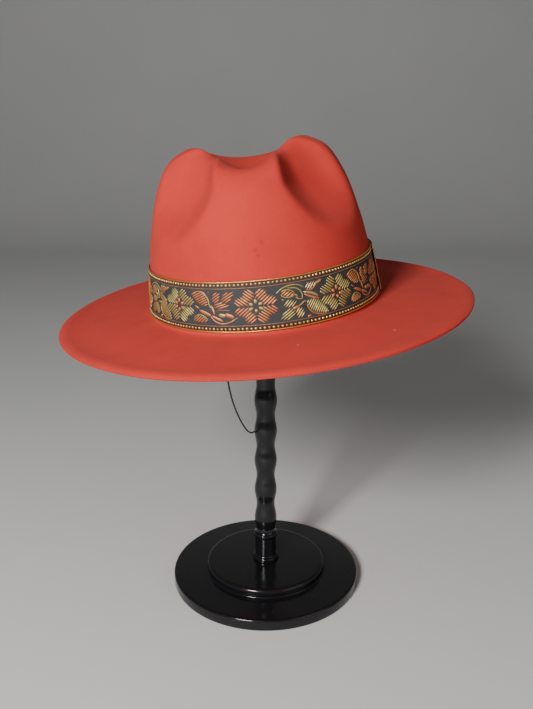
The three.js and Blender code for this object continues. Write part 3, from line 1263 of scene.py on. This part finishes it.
def postOutline(stand):
    post = roundedOutline(stand["collar"])
    lowest = stand["firstBead"] - stand["beadPitch"] / 3
    highest = stand["firstBead"] + stand["beadPitch"] * (stand["beads"] - 0.5)
    for rise in np.linspace(lowest, highest, stand["beadRings"]):
        swell = (1 + math.cos(fullTurn * (rise - stand["firstBead"]) / stand["beadPitch"])) / 2
        post.append((stand["neckRadius"] + (stand["beadRadius"] - stand["neckRadius"]) * swell, float(rise)))
    shank, end = stand["shankRadius"], stand["shankEnd"]
    return post + [(shank, highest + stand["shankStep"]), (shank, end), (0, end)]


def topOutline(stand):
    top = [(0, stand["topUnder"])]
    top += [(stand["topRadius"] - inward, stand["topUnder"] + up) for inward, up in stand["topFoot"]]
    top.append((stand["topRadius"], stand["topRise"] - stand["topDome"] - stand["topRimDrop"]))
    for ring in range(stand["topRings"], -1, -1):
        share = ring / stand["topRings"]
        top.append((stand["topRadius"] * share, stand["topRise"] - stand["topDome"] * share**2))
    return top


def makeStand(material):
    base = roundedOutline(standShape["base"])
    turnPiece("standBase", base, standShape["baseSides"], material, "stand_base")
    turnPiece("standPost", postOutline(standShape), standShape["postSides"], material, "stand_post")
    turnPiece("standTop", topOutline(standShape), standShape["postSides"], material, "stand_top")


makeStand(makeLacquerMaterial())
print("stand turned")

# studio: a pale floor that curves up behind, and soft light from the left front

studio = {
    "floorHalf": 3.0,
    "backAt": 1.6,
    "bend": 0.7,
    "bendSteps": 12,
    "wallRise": 2.6,
    "target": (0, 0, 0.2),
    "keyPlace": (-0.5, -1.05, 0.76),
    "keySize": 0.3,
    "keyPower": 24,
    "fillPlace": (0.95, -0.7, 0.6),
    "fillSize": 0.9,
    "fillPower": 2,
    "world": (0.9, 0.9, 0.9, 1),
    "worldPower": 0.12,
}


def makeFloor():
    shape = bmesh.new()
    profile = [(-studio["floorHalf"], 0), (studio["backAt"], 0)]
    for step in range(1, studio["bendSteps"] + 1):
        angle = math.pi / 2 * step / studio["bendSteps"]
        across = studio["backAt"] + studio["bend"] * math.sin(angle)
        profile.append((across, studio["bend"] * (1 - math.cos(angle))))
    profile.append((studio["backAt"] + studio["bend"], studio["wallRise"]))
    line = [shape.verts.new((-studio["floorHalf"], y, z)) for y, z in profile]
    edges = [shape.edges.new(pair) for pair in zip(line, line[1:])]
    pulled = bmesh.ops.extrude_edge_only(shape, edges=edges)["geom"]
    moved = [item for item in pulled if isinstance(item, bmesh.types.BMVert)]
    bmesh.ops.translate(shape, verts=moved, vec=(2 * studio["floorHalf"], 0, 0))
    bmesh.ops.recalc_face_normals(shape, faces=shape.faces)
    shape.faces.ensure_lookup_table()
    if shape.faces[0].normal.z < 0:
        bmesh.ops.reverse_faces(shape, faces=shape.faces)
    mesh = meshFrom(shape, "floor")
    smoothShaded(mesh, makeFloorMaterial())
    floor = bpy.data.objects.new("floor", mesh)
    bpy.context.collection.objects.link(floor)


def addLamp(name, place, size, power):
    data = bpy.data.lights.new(name, "AREA")
    data.size = size
    data.energy = power
    lamp = bpy.data.objects.new(name, data)
    lamp.location = place
    lamp.rotation_euler = (Vector(studio["target"]) - Vector(place)).to_track_quat("-Z", "Y").to_euler()
    bpy.context.collection.objects.link(lamp)


makeFloor()
addLamp("keyLamp", studio["keyPlace"], studio["keySize"], studio["keyPower"])
addLamp("fillLamp", studio["fillPlace"], studio["fillSize"], studio["fillPower"])
world = bpy.data.worlds.new("studioWorld")
world.use_nodes = True
background = world.node_tree.nodes["Background"]
background.inputs["Color"].default_value = studio["world"]
background.inputs["Strength"].default_value = studio["worldPower"]
bpy.context.scene.world = world
print("studio lit")
